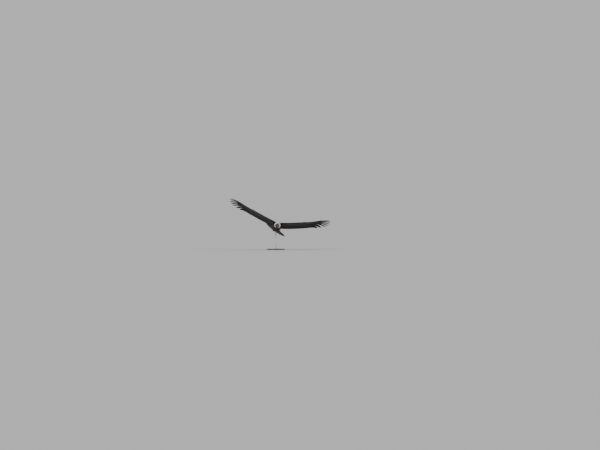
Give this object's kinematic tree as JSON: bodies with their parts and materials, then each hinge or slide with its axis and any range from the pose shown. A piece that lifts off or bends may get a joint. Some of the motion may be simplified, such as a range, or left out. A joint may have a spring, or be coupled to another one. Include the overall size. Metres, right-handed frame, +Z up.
{
  "type": "andean condor display model",
  "caption": "Life-size museum-style model of a soaring andean condor, wings spread and banked, held by a rod on a round display base.",
  "frame": {"origin": "middle of the display base's underside", "axes": "+Z up; the bird faces -Y and its left wing is on the +X side"},
  "size_m": [2.7954, 1.1091, 1.412],
  "materials": {
    "plumage": "black feathers with a soft sheen, white on the upper side of the flight feathers",
    "down": "matt white down",
    "bare_skin": "bare wrinkled skin, dark red-brown",
    "comb_flesh": "fleshy, slightly glossy, dark red-grey",
    "bill_horn": "ivory horn, dark at the root",
    "eye": "glossy brown",
    "leg_scales": "grey scaly skin",
    "claw_horn": "dark horn",
    "stand_wood": "dark oiled hardwood",
    "stand_steel": "brushed"
  },
  "bodies": {
    "root": {"bill_lower": "bill_horn", "bill_upper": "bill_horn", "claw_left_hind": "claw_horn", "claw_left_inner": "claw_horn", "claw_left_middle": "claw_horn", "claw_left_outer": "claw_horn", "claw_right_hind": "claw_horn", "claw_right_inner": "claw_horn", "claw_right_middle": "claw_horn", "claw_right_outer": "claw_horn", "comb": "comb_flesh", "eye_left": "eye", "eye_right": "eye", "foot_left": "leg_scales", "foot_right": "leg_scales", "head": "bare_skin", "neck": "bare_skin", "ruff": "down", "shank_left": "leg_scales", "shank_right": "leg_scales", "stand_base": "stand_wood", "stand_rod": "stand_steel", "stand_saddle": "stand_steel", "tail": "plumage", "thigh_left": "plumage", "thigh_right": "plumage", "trunk": "plumage", "wattle": "bare_skin", "wing_left_arm": "plumage", "wing_left_hand": "plumage", "wing_right_arm": "plumage", "wing_right_hand": "plumage"}
  },
  "joints": []
}
